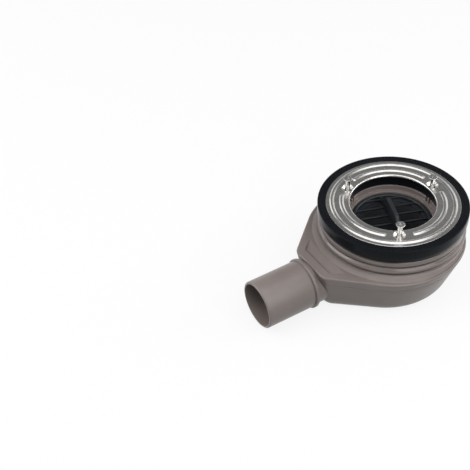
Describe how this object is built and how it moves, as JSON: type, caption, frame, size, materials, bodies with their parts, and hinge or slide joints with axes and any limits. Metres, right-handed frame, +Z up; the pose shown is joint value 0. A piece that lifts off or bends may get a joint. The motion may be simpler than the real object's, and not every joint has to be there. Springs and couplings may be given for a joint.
{
  "type": "shower trap",
  "caption": "Low moulded shower trap: teardrop pot with horizontal spigot outlet, rubber seal ring, pressed clamp ring with screws, and a lift-out strainer with dip tube.",
  "frame": {"origin": "on the axis of the pot, on the plane that the trap stands on", "axes": "+Z up along the axis of the pot, outlet along -X"},
  "size_m": [0.1929, 0.1315, 0.0779],
  "materials": {
    "body_plastic": "satin taupe polypropylene",
    "seal_rubber": "matt black rubber",
    "ring_steel": "pressed stainless steel",
    "screw_steel": "bright stainless steel",
    "insert_brass": "turned brass",
    "strainer_plastic": "satin dark grey plastic"
  },
  "bodies": {
    "root": {"trap_bowl": "body_plastic", "trap_cover": "body_plastic", "outlet_spigot": "body_plastic", "seal_ring": "seal_rubber", "clamp_ring": "ring_steel", "clamp_screws": "screw_steel", "screw_inserts": "insert_brass", "strainer": "strainer_plastic", "dip_tube": "strainer_plastic", "dip_tube_seal": "seal_rubber"}
  },
  "joints": []
}
